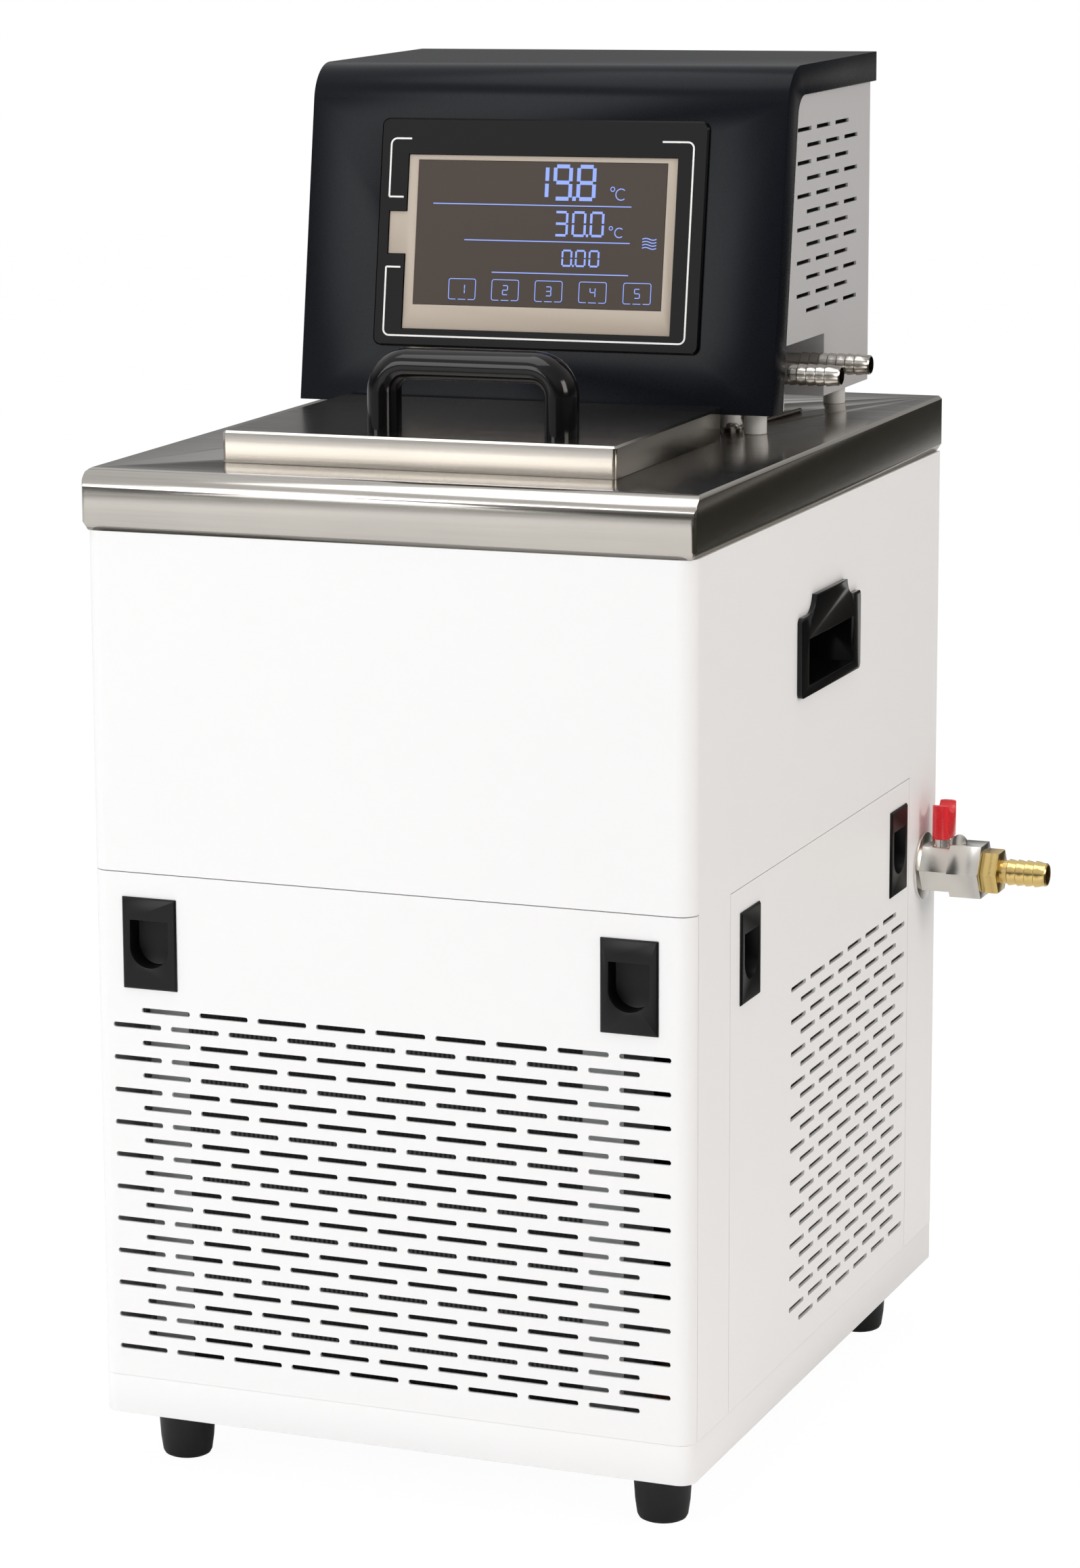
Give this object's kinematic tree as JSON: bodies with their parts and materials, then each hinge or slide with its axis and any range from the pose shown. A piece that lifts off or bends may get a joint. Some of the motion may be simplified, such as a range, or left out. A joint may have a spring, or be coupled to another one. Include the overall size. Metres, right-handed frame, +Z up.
{
  "type": "refrigerated recirculating chiller",
  "caption": "Floor-standing bath chiller: white slotted cabinet on feet, stainless deck with a lidded bath, black control head, drain tap.",
  "frame": {"origin": "on the floor, under the middle of the cabinet", "axes": "+X to the side with the drain tap, +Y to the back, +Z up"},
  "size_m": [0.3685, 0.3932, 0.6653],
  "materials": {
    "white_paint": "satin powder coat",
    "grey_paint": "satin powder coat",
    "black_paint": "satin powder coat",
    "stainless": "brushed",
    "galvanised": "galvanised",
    "steel": "ground",
    "aluminium": "mill finish",
    "chrome": "polished",
    "nickel": "satin nickel",
    "brass": "turned",
    "copper": "drawn copper",
    "black_gloss": "gloss",
    "black_plastic": "matte",
    "red_plastic": "gloss",
    "white_plastic": "satin",
    "beige_plastic": "satin",
    "screen": "dark display window",
    "board": "lacquered board",
    "foam": "closed-cell foam",
    "black_enamel": "gloss enamel",
    "rubber": "matte"
  },
  "bodies": {
    "cabinet": {"cabinet_shell": "white_paint", "front_grille_panel": "white_paint", "right_side_panel": "white_paint", "left_side_panel": "white_paint", "base_tray": "white_paint", "feet": "rubber", "front_finger_cups": "black_plastic", "right_finger_cups": "black_plastic", "left_finger_cups": "black_plastic", "right_carry_handle": "black_gloss", "left_carry_handle": "black_gloss", "rear_panel": "white_paint", "mains_inlet": "black_plastic", "switch_bezel": "black_plastic", "middle_shelf": "galvanised", "deck": "stainless", "bath_tank": "stainless", "evaporator_jacket": "aluminium", "tank_insulation": "foam", "bath_lid": "stainless", "lid_liner": "stainless", "lid_handle": "black_gloss", "head_hood": "black_paint", "head_chassis": "grey_paint", "display_bezel": "black_gloss", "display_module": "beige_plastic", "display_glass": "screen", "control_board": "board", "head_posts": "white_plastic", "deck_wire": "stainless", "hose_barbs": "stainless", "pump_manifold": "stainless", "pump_pipes": "stainless", "pump_motor": "steel", "pump_column": "stainless", "pump_housing": "stainless", "bath_heater": "stainless", "temperature_probe": "stainless", "tap_body": "nickel", "tap_barb": "brass", "drain_pipe": "stainless", "drain_block": "brass", "condenser_core": "aluminium", "condenser_end_plates": "galvanised", "fan_shroud": "galvanised", "fan_motor": "black_enamel", "fan_bracket": "galvanised", "compressor": "black_enamel", "compressor_pads": "rubber", "filter_dryer": "copper", "discharge_line": "copper"},
    "tap_lever": {"tap_lever": "red_plastic", "tap_stem": "nickel"},
    "condenser_fan": {"fan_blades": "aluminium"},
    "pump_rotor": {"pump_shaft": "stainless", "pump_impeller": "white_plastic"},
    "rocker": {"mains_rocker": "black_gloss"}
  },
  "joints": [
    {"name": "tap_turn", "type": "hinge", "parent": "cabinet", "child": "tap_lever", "pos_m": [0.161, 0.1718, 0.2636], "axis": [0, 0, -1], "range_deg": [0, 90]},
    {"name": "fan_spin", "type": "hinge", "parent": "cabinet", "child": "condenser_fan", "pos_m": [-0.01, -0.127, 0.148], "axis": [0, 1, 0], "continuous": true},
    {"name": "pump_spin", "type": "hinge", "parent": "cabinet", "child": "pump_rotor", "pos_m": [-0.03, 0.095, 0.5], "axis": [0, 0, 1], "continuous": true},
    {"name": "switch_tip", "type": "hinge", "parent": "cabinet", "child": "rocker", "pos_m": [-0.04, 0.191, 0.11], "axis": [-1, 0, 0], "range_deg": [0, 16]}
  ]
}
